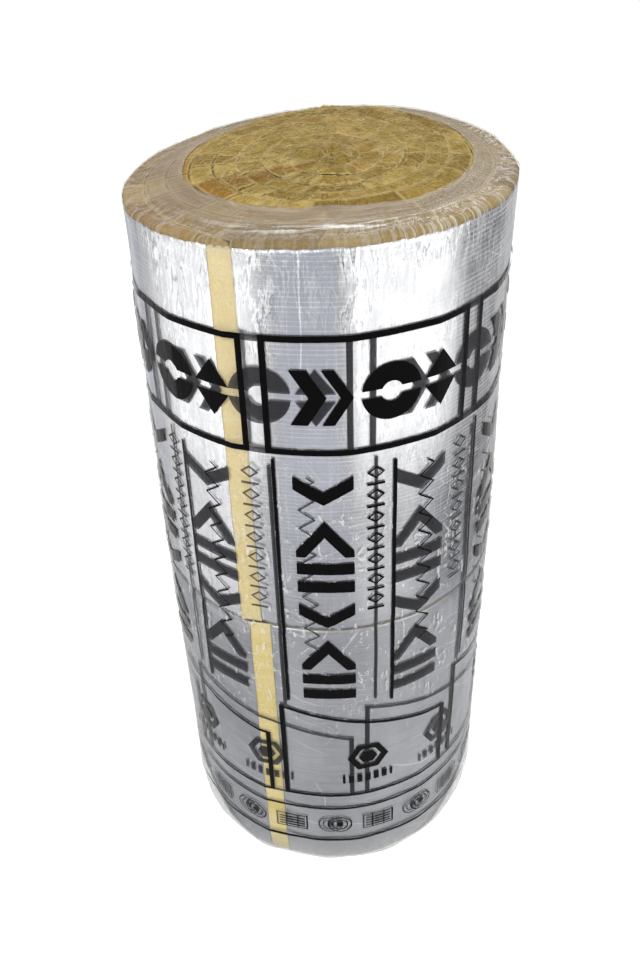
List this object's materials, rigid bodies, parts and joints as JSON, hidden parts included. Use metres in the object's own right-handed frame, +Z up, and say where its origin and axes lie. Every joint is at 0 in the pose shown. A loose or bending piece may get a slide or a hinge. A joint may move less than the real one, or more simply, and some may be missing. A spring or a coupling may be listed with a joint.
{
  "type": "insulation roll (foil-faced mat)",
  "caption": "Foil-faced mineral wool mat wound to a roll, sawn in two halves that stand one on the other in a clear printed shrink film.",
  "frame": {"origin": "bottom centre of the roll, on the floor that it stands on", "axes": "+Z up along the roll's axis; -Y towards the side where the wound strips end"},
  "size_m": [0.4398, 0.4368, 1.0271],
  "materials": {
    "wool": "fibrous",
    "foil": "creased foil",
    "film": "clear film"
  },
  "bodies": {
    "root": {"lower_wool": "wool", "upper_wool": "wool", "lower_foil": "foil", "upper_foil": "foil", "film_wrap": "film"}
  },
  "joints": []
}
